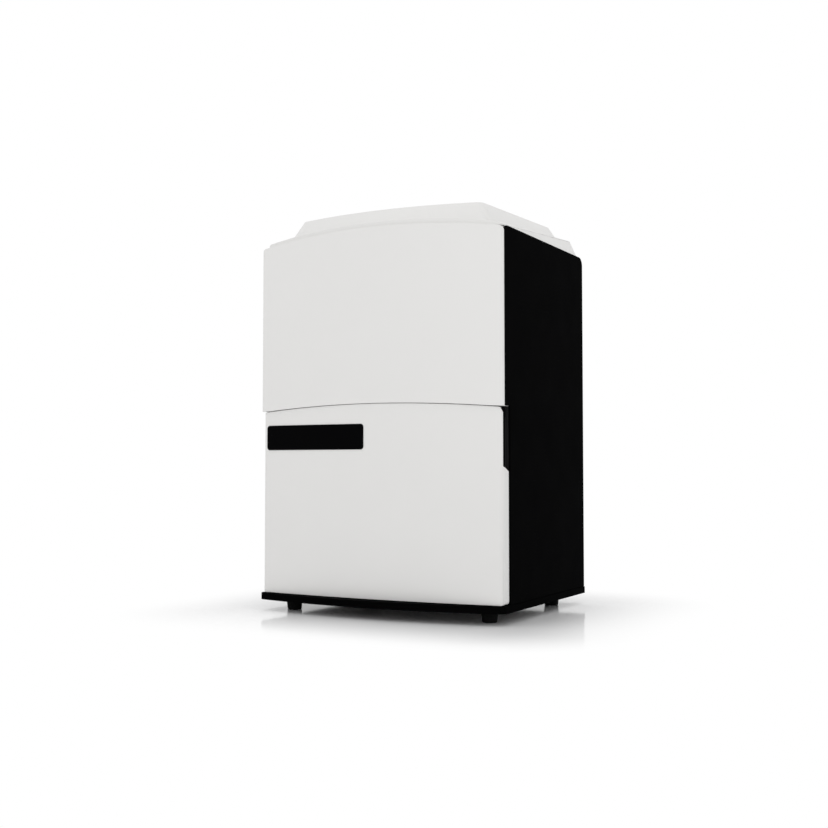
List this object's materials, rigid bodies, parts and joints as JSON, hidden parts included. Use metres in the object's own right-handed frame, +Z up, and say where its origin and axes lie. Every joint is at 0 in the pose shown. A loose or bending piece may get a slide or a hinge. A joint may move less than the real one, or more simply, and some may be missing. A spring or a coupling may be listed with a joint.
{
  "type": "gel documentation system",
  "caption": "Bench-top gel imaging cabinet: bowed swing door over a dark chamber with a light table, and a camera, zoom lens and filter wheel above it.",
  "frame": {"origin": "centre of the footprint, on the bench surface under the rubber feet", "axes": "+X to the right seen from the front, +Y to the rear, +Z up; the door faces -Y"},
  "size_m": [0.342, 0.294, 0.5045],
  "materials": {
    "black_powder_coat": "satin powder coat",
    "white_moulding": "satin-gloss moulded ABS",
    "matt_black_steel": "matt black paint",
    "foot_rubber": "moulded rubber",
    "zinc_steel": "zinc plated",
    "black_screw_steel": "black oxide",
    "gasket_foam": "closed-cell foam",
    "label_acrylic": "gloss black plate",
    "black_plastic": "moulded",
    "nylon": "natural nylon",
    "ferrite": "pressed ferrite in plastic",
    "anodised_grey": "grey anodised",
    "camera_alloy": "black anodised",
    "lens_black": "satin black",
    "ring_rubber": "ribbed grip",
    "lens_glass": "coated",
    "amber_glass": "coloured filter",
    "board_white": "white solder mask",
    "opal_diffuser": "opal acrylic",
    "bright_aluminium": "polished",
    "tube_glass": "phosphor-coated tube",
    "uv_glass": "dark violet filter glass",
    "brushed_steel": "brushed",
    "converter_acrylic": "opal acrylic in a black frame",
    "board_green": "green solder mask",
    "rocker_red": "moulded"
  },
  "bodies": {
    "cabinet": {"base_pan": "black_powder_coat", "rubber_feet": "foot_rubber", "foot_screws": "zinc_steel", "left_side_panel": "black_powder_coat", "right_side_panel": "black_powder_coat", "rear_panel": "black_powder_coat", "rear_panel_screws": "black_screw_steel", "top_cover": "white_moulding", "upper_front_panel": "white_moulding", "front_bulkhead": "matt_black_steel", "chamber_liner": "matt_black_steel", "chamber_floor": "matt_black_steel", "camera_deck": "matt_black_steel", "hinge_bushes": "nylon", "hinge_bracket": "zinc_steel", "catch_magnets": "ferrite", "interlock_sensor": "nylon", "optics_bridge": "anodised_grey", "camera_bracket": "anodised_grey", "camera_body": "camera_alloy", "lens_barrel": "lens_black", "front_lens": "lens_glass", "wheel_motor": "camera_alloy", "lamp_housings": "lens_black", "led_boards": "board_white", "lamp_diffusers": "opal_diffuser", "uv_housing": "matt_black_steel", "uv_reflector": "bright_aluminium", "uv_tubes": "tube_glass", "tube_sockets": "nylon", "uv_ballast": "zinc_steel", "uv_filter_glass": "uv_glass", "window_frame": "brushed_steel", "power_supply": "zinc_steel", "control_board": "board_green", "fan_frame": "black_plastic", "fan_guard": "zinc_steel", "power_inlet": "black_plastic", "usb_port": "zinc_steel"},
    "door": {"door_shell": "white_moulding", "door_liner": "matt_black_steel", "door_gasket": "gasket_foam", "label_plate": "label_acrylic", "grip_cup": "black_plastic", "hinge_pins": "zinc_steel", "strike_plates": "zinc_steel", "interlock_magnet": "ferrite"},
    "filter_wheel": {"filter_wheel": "lens_black", "emission_filters": "amber_glass", "wheel_shaft": "zinc_steel"},
    "focus_ring": {"focus_ring": "ring_rubber"},
    "zoom_ring": {"zoom_ring": "ring_rubber"},
    "iris_ring": {"iris_ring": "ring_rubber"},
    "fan_rotor": {"fan_rotor": "black_plastic"},
    "power_rocker": {"power_rocker": "rocker_red"},
    "fuse_drawer": {"fuse_drawer": "black_plastic"},
    "converter_plate": {"converter_plate": "converter_acrylic"}
  },
  "joints": [
    {"name": "door_swing", "type": "hinge", "parent": "cabinet", "child": "door", "pos_m": [-0.1625, -0.117, 0], "axis": [0, 0, -1], "range_deg": [0, 110]},
    {"name": "filter_wheel_turn", "type": "hinge", "parent": "cabinet", "child": "filter_wheel", "pos_m": [0, 0.051, 0], "axis": [0, 0, 1], "continuous": true},
    {"name": "focus_ring_turn", "type": "hinge", "parent": "cabinet", "child": "focus_ring", "pos_m": [0, 0.011, 0], "axis": [0, 0, 1], "range_deg": [-60, 120]},
    {"name": "zoom_ring_turn", "type": "hinge", "parent": "cabinet", "child": "zoom_ring", "pos_m": [0, 0.011, 0], "axis": [0, 0, 1], "range_deg": [-45, 45]},
    {"name": "iris_ring_turn", "type": "hinge", "parent": "cabinet", "child": "iris_ring", "pos_m": [0, 0.011, 0], "axis": [0, 0, 1], "range_deg": [0, 70]},
    {"name": "fan_spin", "type": "hinge", "parent": "cabinet", "child": "fan_rotor", "pos_m": [-0.095, 0.142, 0.4], "axis": [0, 1, 0], "continuous": true},
    {"name": "power_rocker_tilt", "type": "hinge", "parent": "cabinet", "child": "power_rocker", "pos_m": [0.105, 0.1425, 0.3255], "axis": [1, 0, 0], "range_deg": [-10, 10]},
    {"name": "fuse_drawer_pull", "type": "slide", "parent": "cabinet", "child": "fuse_drawer", "axis": [0, 1, 0], "range_m": [0, 0.02]},
    {"name": "converter_plate_lift", "type": "slide", "parent": "cabinet", "child": "converter_plate", "axis": [0, 0, 1], "range_m": [0, 0.1]}
  ]
}
